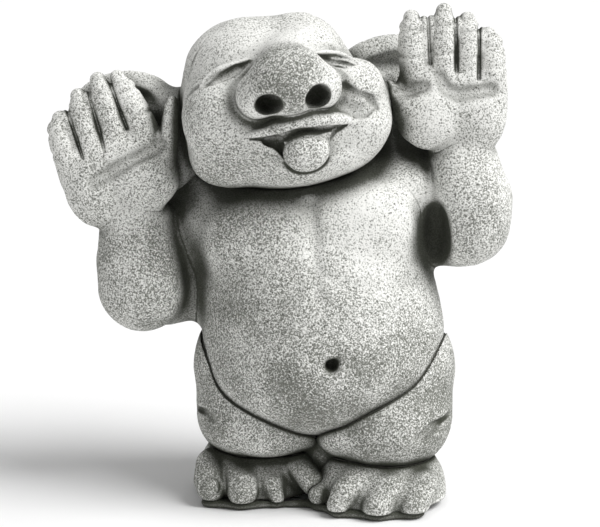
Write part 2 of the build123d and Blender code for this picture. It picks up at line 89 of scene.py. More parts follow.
class Frame:
    """A place on a CAD section: offset from the middle of its box, then a lean about Y and a turn about Z."""

    def __init__(self, node, offset, lean=0.0, turn=0.0):
        self.origin = (box_middle(node) + offset).astype(np.float32)
        a, b = np.radians(-lean), np.radians(turn)
        about_y = np.array([[np.cos(a), 0, np.sin(a)], [0, 1, 0], [-np.sin(a), 0, np.cos(a)]])
        about_z = np.array([[np.cos(b), -np.sin(b), 0], [np.sin(b), np.cos(b), 0], [0, 0, 1]])
        self.axes = (about_y @ about_z).astype(np.float32)
        rise = np.radians(CAMERA_RISE)
        self.sight = np.array((0, np.cos(rise), -np.sin(rise)), np.float32) @ self.axes

    def local(self, points):
        return (points - self.origin) @ self.axes


TORSO = Frame("torso", (13.4, 1.0, -33.6), UPPER_LEAN)
HEAD = Frame("head", (0.8, 16.1, -25.1), UPPER_LEAN, HEAD_YAW)
HANDS = {
    "right": Frame("right_hand", (3.7, 0.0, -19.8), UPPER_LEAN + HAND_SPLAY),
    "left": Frame("left_hand", (3.9, 0.0, -22.2), UPPER_LEAN - HAND_SPLAY),
}
ARMS = {"right": Frame("right_arm", (-0.6, 1.4, 0.0)), "left": Frame("left_arm", (-6.9, 1.4, 0.0))}
LEGS = {"right": Frame("right_leg", (5.9, 0.0, -10.1)), "left": Frame("left_leg", (-5.3, 0.0, -12.2))}
FEET = {
    "right": Frame("right_foot", (0.3, 1.6, -18.0)),
    "left": Frame("left_foot", (4.3, 2.6, -18.0), 0.0, -FOOT_TURN),
}
SIDES = {"right": -1, "left": 1}


# Distance fields: negative inside, in millimetres


def length(vectors):
    return np.sqrt(np.einsum("ij,ij->i", vectors, vectors))


def ball(points, middle, half):
    """An ellipsoid."""
    half = np.asarray(half, np.float32)
    scaled = (points - np.asarray(middle, np.float32)) / half
    reach = length(scaled)
    return reach * (reach - 1) / np.maximum(length(scaled / half), 1e-6)


def rope(points, spine):
    """A tube along a spine of (x, y, z, radius) points."""
    spine = np.asarray(spine, np.float32)
    nearest = np.full(len(points), np.inf, np.float32)
    for start, end in zip(spine[:-1], spine[1:]):
        step = end[:3] - start[:3]
        along = np.clip((points - start[:3]) @ step / (step @ step), 0, 1)
        radius = start[3] + (end[3] - start[3]) * along
        nearest = np.minimum(nearest, length(points - start[:3] - along[:, None] * step) - radius)
    return nearest


def merge(a, b, soft):
    """Union with a rounded inner corner."""
    overlap = np.maximum(soft - np.abs(a - b), 0)
    return np.minimum(a, b) - overlap * overlap / (4 * soft)


def carve(a, b, soft):
    """The part of a outside b, with a rounded edge."""
    return -merge(-a, b, soft)


def near(points, line, width):
    """1 on a line of (x, y, z) points, fading to 0 away from it: a crease or a ridge."""
    spine = [(*point, 0.0) for point in line]
    return np.exp(-((rope(points, spine) / width) ** 2))


SIGHT_REACH = 110  # how far in front of and behind a place its surface is looked for
SIGHT_STEPS = 881


def laid_on(form, frame_of, places, proud=0.0):
    """Each place moved along the line of sight onto a form, or proud of it, so that it follows the surface."""
    travel = np.linspace(-SIGHT_REACH, SIGHT_REACH, SIGHT_STEPS, dtype=np.float32)[:, None]
    points = []
    for place, height in zip(places, np.broadcast_to(proud, len(places))):
        path = np.asarray(place, np.float32) + travel * frame_of.sight
        first = np.argmax(form(path) < 0)
        points.append(tuple(path[first] - height * frame_of.sight))
    return points


def with_radii(points, radii):
    return [(*point, radius) for point, radius in zip(points, radii)]


def pile(points, d, masses):
    """Rounded masses of (middle, half sizes, softness), merged with a form one after another."""
    for middle, half, soft in masses:
        d = merge(d, ball(points, middle, half), soft)
    return d


GROOVE_END = 0.45  # radius of a groove's ends, as a share of the rest


def groove(points, d, line, radius, soft):
    """A crease pressed in along a line, narrower at its ends."""
    radii = np.full(len(line), radius)
    radii[[0, -1]] *= GROOVE_END
    return carve(d, rope(points, with_radii(line, radii)), soft)


# Head


CRANIUM = ((-7, 10, 34), (74, 72, 59))
SKULL_MASSES = (
    ((-26, 3, 62), (44, 52, 34), 10),
    ((22, 4, 62), (32, 52, 29), 10),
    ((1, 0, 0), (84, 71, 43), 16),
    ((-50, -16, -10), (32, 36, 24), 8),
    ((46, -20, -11), (28, 36, 23), 8),
    ((12, -22, -17), (56, 44, 25), 10),
)
FACE_MASSES = (
    ((-50, -36, 23), (34, 36, 34), 18),
    ((62, -16, 16), (24, 32, 30), 8),
    ((51, -41, 31), (28, 29, 23), 10),
    ((55, -35, 1), (26, 30, 24), 9),
    ((43, -50, 37), (15, 15, 14), 8),
    ((4, -50, 10), (44, 33, 23), 12),
)
BROW = ((5, -44, 62, 17), (2, -70, 55, 22))
BRIDGE_SOFT = 14


def skull(q):
    return pile(q, ball(q, *CRANIUM), SKULL_MASSES)


def face(q):
    """The skull with cheeks and the bulge round the mouth."""
    return merge(pile(q, skull(q), FACE_MASSES), rope(q, BROW), BRIDGE_SOFT)


LIP_PLACES = (
    (-35, -82, 14), (-25, -82, 15), (-13, -82, 16.4), (0, -82, 18), (12.6, -82, 17.5), (26.4, -82, 15.8),
    (37.6, -82, 13), (44.3, -82, 11),
)
LIP_HEIGHTS = (-2.5, -0.5, 1.5, 2, 2, 1, -1, -3)
LIP_RADII = (3.5, 5.2, 6.6, 7.2, 7.4, 6.4, 5.0, 3.8)
UPPER_LIP = with_radii(laid_on(face, HEAD, LIP_PLACES, LIP_HEIGHTS), LIP_RADII)
MOUTH_PLACES = (
    (-36.6, -78, 11), (-26, -78, 8.6), (-14.5, -78, 6.6), (0, -78, 7.4), (16, -78, 7.4), (28, -78, 7),
    (41.4, -78, 7.9),
)
MOUTH = with_radii(laid_on(face, HEAD, MOUTH_PLACES), (0.8, 1.8, 3.6, 4.2, 3.8, 3.0, 0.8))
RIGHT_CORNER = laid_on(face, HEAD, ((-27, -78, 7), (-16, -78, 4), (-12.5, -78, -1), (-11, -78, -8)), -4)
LEFT_CORNER = laid_on(face, HEAD, ((37, -76, 6), (30, -76, 3), (25.5, -76, -2.5)))
MOUTH_CORNERS = (with_radii(RIGHT_CORNER, (2.5, 5.4, 4.8, 2.2)), with_radii(LEFT_CORNER, (2.0, 2.6, 1.2)))
TONGUE_PLACE = (4.5, -82, -5.8)
TONGUE = laid_on(face, HEAD, (TONGUE_PLACE,), 1)[0]
TONGUE_HALF = (18.5, 11.5, 17.0)
TONGUE_ANGLES = np.radians(np.linspace(200, 330, 9))  # from the tongue's left round under it
UNDER_TONGUE = [
    (TONGUE_PLACE[0] + 19 * np.cos(angle), TONGUE_PLACE[1], TONGUE_PLACE[2] + 17.5 * np.sin(angle))
    for angle in TONGUE_ANGLES
]
TONGUE_EDGE = laid_on(face, HEAD, UNDER_TONGUE)
TONGUE_LINE = [(x, TONGUE[1] - TONGUE_HALF[1], z) for x, z in ((7.5, 4), (6.5, -5))]
EYE_PLACES = {
    "right": ((-65, -55, 55), (-56, -55, 57), (-46.3, -55, 59.5), (-36.2, -55, 63), (-26.6, -55, 66.3)),
    "left": ((29.7, -55, 61), (36.2, -55, 58), (44, -55, 55), (51.2, -55, 51.6), (58.4, -55, 48.8)),
}
LID_PLACES = {
    "right": ((-66.3, -55, 56), (-60, -55, 61.4), (-49.8, -55, 65.9), (-37.6, -55, 68), (-25, -55, 69)),
    "left": ((27.2, -55, 64.5), (35.9, -55, 64), (45, -55, 61.8), (52.5, -55, 57), (60.5, -55, 49.6)),
}
EYE_SLITS = {name: laid_on(face, HEAD, places) for name, places in EYE_PLACES.items()}
EYELIDS = {name: laid_on(face, HEAD, places) for name, places in LID_PLACES.items()}
SLIT_RADII = (0.4, 2.8, 4.0, 3.6, 0.6)
LID_RADII = (1.4, 2.6, 3.2, 2.8, 1.6)
LID_HOLLOW = 5.5  # height of the hollow over a lid
SMILE_LINE = laid_on(face, HEAD, ((43.8, -66, 35.3), (50.9, -66, 28.6), (57.4, -66, 25)))
DIMPLE = laid_on(face, HEAD, ((60.5, -52, 23), (65.6, -52, 18.9), (69.4, -52, 11.6)))
TEMPLE_LINE = laid_on(face, HEAD, ((-65.3, -40, 54.5), (-72.4, -40, 51.5), (-78, -40, 47)))
FINE_LINES = (
    laid_on(face, HEAD, ((47, -70, 11), (59, -60, 8), (66, -54, 11))),
    laid_on(face, HEAD, ((-55, -66, 27), (-58, -66, 25.5), (-60, -66, 21))),
    laid_on(face, HEAD, ((39.8, -55, 51.2), (48.7, -55, 47.6), (54.7, -55, 48))),
    laid_on(skull, HEAD, ((-75, -20, 56), (-69, -20, 67.6), (-60, -20, 81.5), (-51, -20, 91))),
)
CROWN_KNOBS = (((-27, -8, 94), (-20, -8, 95)), ((18, -6, 92), (29, -6, 90)))


def eye(q, d, side):
    """A slit under a thick lid, with a soft hollow above the lid."""
    hollow = [(x, y, z + LID_HOLLOW) for x, y, z in EYELIDS[side]]
    d = d + 2.6 * near(q, hollow, 4)
    d = merge(d, rope(q, with_radii(EYELIDS[side], LID_RADII)), 1.5)
    opening = rope(q, with_radii(EYE_SLITS[side], SLIT_RADII))
    return carve(d, opening, 1)


NOSTRILS = (((-19, -100, 37), (10.5, 28, 9)), ((19, -100, 35.5), (10.5, 28, 10)))


NOSE_BULB = ((0, -85, 50), (31, 28, 25))
NOSE_BRIDGE = ((5, -44, 62, 17), (3, -62, 57, 20), (1, -78, 51, 24))
NOSE_WINGS = (((-25, -75, 42), (17, 22, 18), 8), ((25, -75, 40), (17, 22, 18), 8))


def nose(q):
    d = merge(ball(q, *NOSE_BULB), rope(q, NOSE_BRIDGE), BRIDGE_SOFT)
    d = pile(q, d, NOSE_WINGS)
    for middle, half in NOSTRILS:
        d = carve(d, ball(q, middle, half), 2.5)
    return d


CREASES = (
    (SMILE_LINE, 1.9, 5),
    (DIMPLE, 2.6, 3),
    (TEMPLE_LINE, 1.8, 3),
    *((line, 1.0, 1.5) for line in FINE_LINES),
)  # line, radius and softness


def head(points):
    q = HEAD.local(points)
    d = face(q)
    for side in SIDES:
        d = eye(q, d, side)
    d = merge(d, nose(q), 7)
    d = merge(d, rope(q, UPPER_LIP), 3)
    d = carve(d, rope(q, MOUTH), 1.5)
    for corner in MOUTH_CORNERS:
        d = carve(d, rope(q, corner), 1.5)
    tongue = ball(q, TONGUE, TONGUE_HALF) + 1.8 * near(q, TONGUE_LINE, 3)
    d = groove(q, d, TONGUE_EDGE, 1.6, 2)
    d = merge(d, tongue, 0.8)
    for line, radius, soft in CREASES:
        d = groove(q, d, line, radius, soft)
    for knob in CROWN_KNOBS:
        d = d - 2.5 * near(q, knob, 9)
    return d


# Ears


EARS = {"right": ((-128, 44, 32), (47, 13, 37)), "left": ((97, 44, 22), (52, 13, 35))}
EAR_RIM = 11.0
EAR_ROOTS = {"right": (60, -4, 0, 15), "left": (-56, -4, 2, 15)}  # inner end of the root, and its radius
# A lobe's middle, from the ear's middle, and its half sizes
LOBES = {"right": ((38, 0, -40), (20, 18, 40)), "left": ((-26, 2, -34), (18, 14, 24))}


def ear(side):
    middle, half = EARS[side]
    hollow = (half[0] - EAR_RIM, half[1] + 3, half[2] - EAR_RIM)
    lobe, lobe_half = LOBES[side]

    def form(points):
        q = HEAD.local(points) - np.asarray(middle, np.float32)
        d = ball(q, (0, 0, 0), half)
        d = carve(d, ball(q, (0, -half[1] - 2, -2), hollow), 4)
        d = merge(d, rope(q, ((0, 3, 0, 10), EAR_ROOTS[side])), 8)
        return merge(d, ball(q, lobe, lobe_half), 6)

    return form


# Torso


BELLY = ((0, 0, 0), (101, 87, 84))
TRUNK_MASSES = (
    ((0, -15, -15), (94, 77, 60), 7),
    ((0, 4, 48), (95, 78, 66), 24),
    ((2, 12, 88), (92, 64, 64), 24),
    ((-6, 24, 126), (80, 54, 36), 16),
    ((-40, -30, 98), (42, 28, 36), 18),
    ((50, -28, 95), (42, 28, 36), 18),
    ((-74, 12, 106), (34, 34, 34), 18),
    ((74, 12, 106), (34, 34, 34), 18),
)


def trunk(q):
    return pile(q, ball(q, *BELLY), TRUNK_MASSES)


STERNUM = laid_on(trunk, TORSO, ((9, -52, 122), (8, -60, 100), (5, -75, 75), (3, -80, 49)))
CHEST_FOLDS = (
    laid_on(trunk, TORSO, ((-82, -60, 57), (-55, -72, 49), (-30, -80, 48), (-4, -80, 64))),
    laid_on(trunk, TORSO, ((8, -80, 70), (30, -78, 55), (58, -72, 46), (86, -50, 48))),
)
NAVEL = laid_on(trunk, TORSO, ((4, -86, -6),))[0]


def torso(points):
    q = TORSO.local(points)
    d = trunk(q)
    d = d + 3.0 * near(q, STERNUM, 6)
    for fold in CHEST_FOLDS:
        d = d + 2.2 * near(q, fold, 7)
    x, y, z = NAVEL
    d = d + 2.5 * near(q, [(x, y, z), (x + 5, y, z + 4)], 10)
    return carve(d, rope(q, ((x, y, z, 5), (x, y + 12, z, 4.5), (x + 6, y, z + 4, 1.5))), 5)


# Arms


ARM_ROPES = {
    "right": (
        ((-8, -6, -12, 37), (-10.5, -6, 10, 36), (-13, -1, 38, 31)),
        ((50, 34, 34, 28), (38, 26, -14, 30.5), (10, 14, -19, 30)),
        ((8, 22, 44, 14), (48, 34, 48, 26), (34, 34, 62, 24)),
        ((4, 12, 14, 28), (34, 28, 8, 28)),
    ),
    "left": (
        ((9, -8, -12, 36), (11, -10, 8, 35.5), (6, 0, 36, 30)),
        ((-44, 8, 18, 31), (-20, 4, 0, 25), (-4, 0, -20, 29)),
        ((-26, 22, -8, 28), (0, 12, -16, 29)),
        ((-20, 26, 44, 16), (-46, 22, 30, 28), (-54, 32, 54, 22)),
    ),
}
ARMPIT = ((-17, -34, -22), (11, 28, 31))  # hollow between the left arm and the trunk
BAND = ((-32, -10, 20, 13), (-16, -17, 5, 9), (-4, -26, -10, 8))  # muscle that runs over that hollow


def arm(side):
    forearm, *upper_arm = ARM_ROPES[side]

    def form(points):
        q = ARMS[side].local(points)
        d = rope(q, forearm)
        for spine in upper_arm:
            d = merge(d, rope(q, spine), 6)
        return merge(d, rope(q, BAND), 6) if side == "left" else d

    return form


# Hands, in frames at the middle of the palm: x across, z along the fingers, palm to the front


FINGERS = {
    "right": {
        "index": ((32, 18), (30, 45), (26, 66), (24, 78)),
        "middle": ((8.5, 20), (9, 47), (9, 69), (8.5, 81)),
        "ring": ((-12.5, 16), (-12.5, 42), (-12, 62), (-11, 73)),
        "little": ((-33, 12), (-34.5, 34), (-34, 50), (-31, 60)),
    },
    "left": {
        "index": ((-27, 20), (-29, 45), (-29, 66), (-29, 76)),
        "middle": ((-5, 22), (-4, 47), (-3, 69), (-2.5, 80)),
        "ring": ((14, 18), (15, 42), (16, 62), (16, 72)),
        "little": ((32, 12), (34, 34), (34, 50), (32.5, 59)),
    },
}
FINGER_RADII = (13.5, 12.4, 11.0, 6.5)
FINGER_BEND = (-3, -6, -3, -3)
WEB_RADII = (12.5, 11.5, 10.0, 5.0)
WEB_TOP = 12.0  # it ends this far below the fingers' ends
WEB_BACK = -1.5  # how far the stone between two fingers lies to the back
KNUCKLE_NOTCH = 1.3  # crease across a finger at each joint
THUMBS = {
    "right": ((32, -5, -12, 15), (41, -8, 4, 11), (52, -10, 24, 8), (59.5, -10, 42, 6.5), (62, -10, 47, 4.5)),
    "left": ((-28, -4, -8, 17), (-38, -10, 4, 13.5), (-46, -12, 17, 8), (-49, -12, 23, 4.5)),
}
FINGER_GAPS = {
    "right": (((17, 84), (20, 37)), ((-1.5, 80), (-2.6, 28)), ((-23, 66), (-21.5, 25))),
    "left": (((-16, 80), (-16, 39)), ((6.5, 78), (5, 32)), ((25, 66), (22.5, 25))),
}
THENAR = {"right": (20, -11, -7), "left": (-18, -13, -4)}
HYPOTHENAR = {"right": (-23, -10, -7), "left": (22, -10, -7)}
PALM_LINES = {
    "right": (((43, -18, 17), (30, -18, 14), (14, -18, 11), (-3, -18, 7), (-19, -18, 3)),),
    "left": (
        ((-9, -18, 28.7), (-4, -18, 18), (6, -18, 13.4), (23.5, -18, 15.4), (33.6, -18, 16.3)),
        ((-42, -20, 18.8), (-32, -20, 20), (-22, -20, 22)),
    ),
}


def palm(side):
    masses = (
        (THENAR[side], (26, 15, 27), 8),
        (HYPOTHENAR[side], (22, 14, 27), 8),
        ((0, -4, 22), (43, 14, 14), 8),
    )
    return lambda q: pile(q, ball(q, (0, -2, 6), (46, 19, 40)), masses)


def finger(q, places):
    """A pointed finger that bends slightly forward, with a notch at each joint."""
    spine = [(x, y, z, radius) for (x, z), y, radius in zip(places, FINGER_BEND, FINGER_RADII)]
    d = rope(q, spine)
    for joint in spine[1:3]:
        height = q[:, 2] - joint[2]
        d = d + KNUCKLE_NOTCH * np.exp(-((height / 2.2) ** 2))
    return d


def web(q, places, beside):
    """Stone left between two fingers."""
    middles = (np.array(places) + np.array(beside)) / 2
    middles[-1, 1] -= WEB_TOP
    return rope(q, [(x, WEB_BACK, z, radius) for (x, z), radius in zip(middles, WEB_RADII)])


def hand(side):
    palm_form = palm(side)

    def plain(q):
        d = palm_form(q)
        rows = list(FINGERS[side].values())
        for places in rows:
            d = merge(d, finger(q, places), 4)
        for places, beside in zip(rows[:-1], rows[1:]):
            d = merge(d, web(q, places, beside), 1)
        return merge(d, rope(q, THUMBS[side]), 5)

    creases = [laid_on(plain, HANDS[side], line) for line in PALM_LINES[side]]

    def form(points):
        q = HANDS[side].local(points)
        d = plain(q)
        for crease in creases:
            d = groove(q, d, crease, 1.9, 9)
        flat = q * np.float32((1, 0, 1))
        for (x, z), (root_x, root_z) in FINGER_GAPS[side]:
            d = d + 2.5 * near(flat, ((x, 0, z), (root_x, 0, root_z)), 1.5)
        return d

    return form


# Legs and feet


THIGH = ((0, -2, 2), (57, 64, 50))
HIP = ((0, 4, 40), (59, 58, 62), 10)
LEG_BOTTOM = {"right": -30.5, "left": -37.0}
LEG_FOLDS = {
    "right": (
        ((-57, -9, 5), (-47, -34, 7), (-41, -46, 4)),
        ((-56, -14, -17), (-47, -38, -18)),
    ),
    "left": (
        ((54, -10, 6), (36, -38, 2), (24, -52, -5)),
        ((43, -24, -1), (30, -44, -9)),
    ),
}
CROTCH = {"right": ((36, -6, -6), (20, 44, 22)), "left": ((-38, -6, -6), (24, 46, 24))}
LEG_WEB = ((-46, 6, -26), (30, 30, 42))  # stone left between the legs


def leg(side):
    def roll(q):
        d = pile(q, ball(q, *THIGH), (HIP, (*CROTCH[side], 10)))
        return carve(d, q[:, 2] - LEG_BOTTOM[side], 14)

    folds = [laid_on(roll, LEGS[side], fold) for fold in LEG_FOLDS[side]]

    def form(points):
        q = LEGS[side].local(points)
        d = roll(q)
        for fold in folds:
            d = groove(q, d, fold, 1.4, 5)
        if side == "left":
            d = merge(d, ball(q, *LEG_WEB), 4)
        return d

    return form


TOES = {
    "right": (
        ((-38, -26, 22, 15), (-40, -40, 14, 14), (-39, -47, 10, 12.5)),
        ((-17, -30, 22, 15), (-13, -50, 12, 14), (-13, -54, 9, 13)),
        ((6, -32, 18, 13), (11, -46, 12, 10), (16, -54, 3, 6)),
        ((33, -36, 26, 12), (45, -50, 15, 10.5)),
    ),
    "left": (
        ((-38, -30, 10, 10), (-42, -42, 7, 8.5)),
        ((-10, -40, 20, 13), (-18, -50, 12, 12), (-22, -55, 4, 9.5)),
        ((17, -40, 17, 14), (10, -52, 4, 12.5)),
        ((41, -26, 16, 15), (37, -40, 3, 13)),
    ),
}
NAILS = {"right": ((-39, -59, 13), (-13, -66, 13)), "left": ()}
NAIL_RADIUS = 8.0
FOOT_HALF = {"right": (54, 52, 56), "left": (57, 54, 56)}


def foot(side):
    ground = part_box("base_slab")[1].z / MM

    def form(points):
        q = FEET[side].local(points)
        d = ball(q, (0, 0, 0), FOOT_HALF[side])
        for toe in TOES[side]:
            d = merge(d, rope(q, toe), 5)
        for nail in NAILS[side]:
            rim = np.abs(length((q - np.float32(nail)) * np.float32((1, 0.5, 1))) - NAIL_RADIUS)
            d = d + 1.2 * np.exp(-((rim / 1.5) ** 2))
        return np.maximum(d, ground - points[:, 2])

    return form


FOOTPRINT = 4.0  # height over the slab at which the feet's outline is taken
SLAB_RIM = -6.0  # the slab stands out past that outline by this much


def base(points):
    """A thin slab whose rim follows the feet."""
    low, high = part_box("base_slab")
    flat = points * np.float32((1, 1, 0)) + np.float32((0, 0, high.z / MM + FOOTPRINT))
    outline = merge(FORMS["right_foot"](flat), FORMS["left_foot"](flat), 14)
    for side in SIDES:
        q = FEET[side].local(flat) * np.float32((1, 1, 0))
        outline = merge(outline, rope(q, [(toe[-1][0], toe[-1][1], 0, toe[-1][3]) for toe in TOES[side]]), 10)
    outline = outline - SLAB_RIM
    half_thick = (high.z - low.z) / 2 / MM
    height = np.abs(points[:, 2] - half_thick) - half_thick
    return -merge(-outline, -height, 3)


# Pieces: each section keeps clear of its neighbours, and a bed of mortar fills the joint


FORMS = {"head": head, "torso": torso, "base_slab": base}
for name in SIDES:
    for part, make in (("ear", ear), ("arm", arm), ("hand", hand), ("leg", leg), ("foot", foot)):
        FORMS[f"{name}_{part}"] = make(name)

VOXELS = {
    "head": 0.95, "torso": 1.4, "base_slab": 1.1, "ear": 1.2, "arm": 1.2, "hand": 0.9, "leg": 1.0, "foot": 0.95,
}
BED_VOXEL = 1.0
SHOULDER_SOFT = 16.0
WRIST_SOFT = 9.0
FLOWING = ("torso", "arm", "hand")


def kind(node):
    return node.removeprefix("right_").removeprefix("left_")


def flow(node, points):
    """The surface that runs on from the trunk through the arms into the hands, as far as a node needs it.

    Also gives how far each point is on the node's own side of its joints.
    """
    side = node.split("_")[0]
    if node == "torso":
        own = torso(points)
        right, left = FORMS["right_arm"](points), FORMS["left_arm"](points)
        others = np.minimum(right, left)
        d = merge(merge(own, right, SHOULDER_SOFT), left, SHOULDER_SOFT)
    elif kind(node) == "arm":
        own, hand_d, trunk_d = FORMS[node](points), FORMS[f"{side}_hand"](points), torso(points)
        others = np.minimum(hand_d, trunk_d)
        d = merge(trunk_d, merge(own, hand_d, WRIST_SOFT), SHOULDER_SOFT)
    else:
        own, others = FORMS[node](points), FORMS[f"{side}_arm"](points)
        d = merge(own, others, WRIST_SOFT)
    if node in ("torso", "left_arm"):
        d = carve(d, ball(ARMS["left"].local(points), *ARMPIT), 6)
    return d, (others - own) / 2


def shut_joint(d):
    """Half a joint that doesn't show: shut at the surface, and a mortar bed deeper in."""
    return np.where(d > -HIDDEN_RIM, -RUBBED_SHUT, BED / 2)


def uncut(node):
    """A section's form before it is cut at its joints."""
    if kind(node) in FLOWING:
        return lambda points: flow(node, points)[0]
    return FORMS[node]


def section(node):
    """A section's form, cut clear of the neighbours that keep theirs."""
    side = node.split("_")[0]
    bedded_on = {"torso": ("head",), "ear": ("head",), "leg": ("torso",), "foot": (f"{side}_leg",)}
    clear_of = {
        "hand": ("head",),
        "ear": (f"{side}_hand", f"{side}_arm"),
        "arm": ("head",),
        "leg": ("left_leg",) if side == "right" else (),
        "foot": ("left_foot", "left_leg") if side == "right" else ("right_leg",),
    }

    def form(points):
        if kind(node) in FLOWING:
            d, own_side = flow(node, points)
            d = np.maximum(d, shut_joint(d) - own_side)
        else:
            d = FORMS[node](points)
        for other in bedded_on.get(kind(node), ()):
            d = carve(d, FORMS[other](points) - BED, EDGE)
        for other in clear_of.get(kind(node), ()):
            d = np.maximum(d, GAP - FORMS[other](points))
        return d

    return form


def bed_on(lower, upper):
    """Mortar between a lower section and the upper one whose form it follows."""

    def form(points):
        over = FORMS[upper](points)
        d = np.maximum(FORMS[lower](points) + RECESS, GAP - over)
        return np.maximum(d, over - BED + GAP)

    return form


def hidden_bed(node, other):
    """Mortar in a joint of the flow, which stops short of the surface."""

    def form(points):
        between = np.abs(FORMS[node](points) - FORMS[other](points)) / 2
        return np.maximum(flow(node, points)[0] + HIDDEN_RIM, between - (BED - GAP) / 2)

    return form


def sole_bed(side):
    """Mortar under a foot: a thin layer that the foot and the slab both hide."""
    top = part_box("base_slab")[1].z / MM

    def form(points):
        d = FORMS[f"{side}_foot"](points + np.float32((0, 0, BED)))
        return np.maximum(d + SOLE_RIM, np.abs(points[:, 2] - top) - BED / 2)

    return form


BEDS = {"neck_mortar_bed": bed_on("torso", "head")}
for name in SIDES:
    BEDS[f"{name}_hip_mortar_bed"] = bed_on(f"{name}_leg", "torso")
    BEDS[f"{name}_ankle_mortar_bed"] = bed_on(f"{name}_foot", f"{name}_leg")
    BEDS[f"{name}_wrist_mortar_bed"] = hidden_bed(f"{name}_arm", f"{name}_hand")
    BEDS[f"{name}_ear_mortar_bed"] = bed_on(f"{name}_ear", "head")
    BEDS[f"{name}_shoulder_mortar_bed"] = hidden_bed(f"{name}_arm", "torso")
    BEDS[f"{name}_foot_mortar_bed"] = sole_bed(name)


# Meshing


BLOCK = 8  # voxels along the side of a block that is sampled together
CHUNK = 60_000  # points evaluated at a time
POOL = ThreadPoolExecutor(4)


def evaluate(form, points):
    points = points.astype(np.float32)
    chunks = [points[start:start + CHUNK] for start in range(0, len(points), CHUNK)]
    return np.concatenate(list(POOL.map(form, chunks)))


def sample(form, low, high, voxel):
    """A form's distances on a grid. Only blocks near the surface are worked out in full."""
    counts = np.ceil((high - low) / (voxel * BLOCK)).astype(int)
    corners = np.stack(np.meshgrid(*(np.arange(n) for n in counts), indexing="ij"), -1).reshape(-1, 3)
    centres = low + (corners + 0.5) * (voxel * BLOCK)
    rough = evaluate(form, centres)
    close = np.abs(rough) < 1.3 * voxel * BLOCK
    inner = np.stack(np.meshgrid(*(np.arange(BLOCK),) * 3, indexing="ij"), -1).reshape(-1, 3)
    offsets = ((inner - BLOCK / 2 + 0.5) * voxel).astype(np.float32)
    blocks = np.repeat(rough[:, None], BLOCK**3, axis=1)
    fine = (centres[close][:, None] + offsets[None]).reshape(-1, 3)
    blocks[close] = evaluate(form, fine).reshape(-1, BLOCK**3)
    blocks = blocks.reshape(*counts, BLOCK, BLOCK, BLOCK).transpose(0, 3, 1, 4, 2, 5)
    return blocks.reshape(*(counts * BLOCK))


def surface(form, low, high, voxel):
    """Points and quads of a form's surface."""
    limit = 3 * voxel
    field = np.clip(sample(form, low, high, voxel), -limit, limit).astype(np.float32)
    grid = openvdb.FloatGrid(limit)
    grid.copyFromArray(field)
    points, quads = grid.convertToQuads(0.0)
    return low + (np.asarray(points) + 0.5) * voxel, np.asarray(quads)


def largest(points, quads):
    """The largest connected surface, without loose crumbs or closed bubbles."""
    label = np.arange(len(points))
    while True:
        lowest = label[quads].min(axis=1)
        renewed = label.copy()
        for corner in quads.T:
            np.minimum.at(renewed, corner, lowest)
        renewed = renewed[renewed]
        if np.array_equal(renewed, label):
            break
        label = renewed
    quads = quads[label[quads[:, 0]] == np.bincount(label[quads[:, 0]]).argmax()]
    used, quads = np.unique(quads, return_inverse=True)
    return points[used], quads.reshape(-1, 4)


def node_room(node):
    low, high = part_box(node)
    return np.array(low) / MM - MARGIN, np.array(high) / MM + MARGIN


def lumps(points, size, seed):
    """Smooth random unevenness between -1 and 1, with a given size of lump."""
    count = 64
    lattice = np.random.default_rng(seed).uniform(-1, 1, (count,) * 3)
    cell = np.floor(points / size).astype(int)
    part = points / size - cell
    part = part * part * (3 - 2 * part)
    total = np.zeros(len(points))
    for corner in np.ndindex(2, 2, 2):
        weight = np.prod(np.where(corner, part, 1 - part), axis=1)
        total += weight * lattice[tuple(((cell + corner) % count).T)]
    return total


def figure(points):
    """The whole figure, for how far each surface is shut in by what is round it."""
    nearest = np.full(len(points), np.inf, np.float32)
    for form in FORMS.values():
        nearest = np.minimum(nearest, form(points))
    return nearest


class RoughFigure:
    """The whole figure on a coarse grid, which is quick to look up."""

    def __init__(self, voxel, margin):
        self.voxel = voxel
        self.low = np.array(cad_low) / MM - margin
        counts = np.ceil((np.array(cad_high) / MM + margin - self.low) / voxel).astype(int)
        places = np.stack(np.meshgrid(*(np.arange(n) for n in counts), indexing="ij"), -1).reshape(-1, 3)
        self.field = evaluate(figure, self.low + places * voxel).reshape(counts)

    def __call__(self, points):
        place = (points - self.low) / self.voxel
        cell = np.clip(np.floor(place).astype(int), 0, np.array(self.field.shape) - 2)
        part = np.clip(place - cell, 0, 1)
        total = np.zeros(len(points))
        for corner in np.ndindex(2, 2, 2):
            weight = np.prod(np.where(corner, part, 1 - part), axis=1)
            total += weight * self.field[tuple((cell + corner).T)]
        return total


rough_figure = RoughFigure(4.0, 40.0)
SLAB_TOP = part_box("base_slab")[1].z / MM


def shut_in(form, points, normals, reach):
    """0 on open or flat stone, towards 1 in a crease that is about reach wide."""
    return np.clip(1 - evaluate(form, points + normals * reach) / reach, 0, 1)


# Painted light and shade in patches: middle in millimetres, radius, and how much paler the stone is painted
PAINTED_LIGHT_PATCHES = (
    ((-32, -108, 364), 24, -0.9),
    ((75, -50, 90), 40, -0.15),
    ((-62, -55, 88), 40, 0.12),
    ((40, -60, 241), 48, 0.5),
    ((-69, -55, 228), 32, -0.12),
    ((-32, -85, 114), 45, -0.2),
    ((48, -75, 174), 40, 0.08),
    ((-28, -45, 393), 42, 0.25),
    ((-88, -40, 375), 30, 0.3),
    ((97, -35, 331), 32, 0.25),
    ((-62, -60, 285), 45, -0.35),
)
OVERHANG_REACH = (0.0, -2.0, 9.0)  # stone that has other stone this far above it gets painted shadow
RIDGE = 5.0  # ridges thinner than about twice this are rubbed pale
LIGHT_FALL_HEIGHT = 230.0  # painted light from above: stone below this height is painted darker, and paler above it
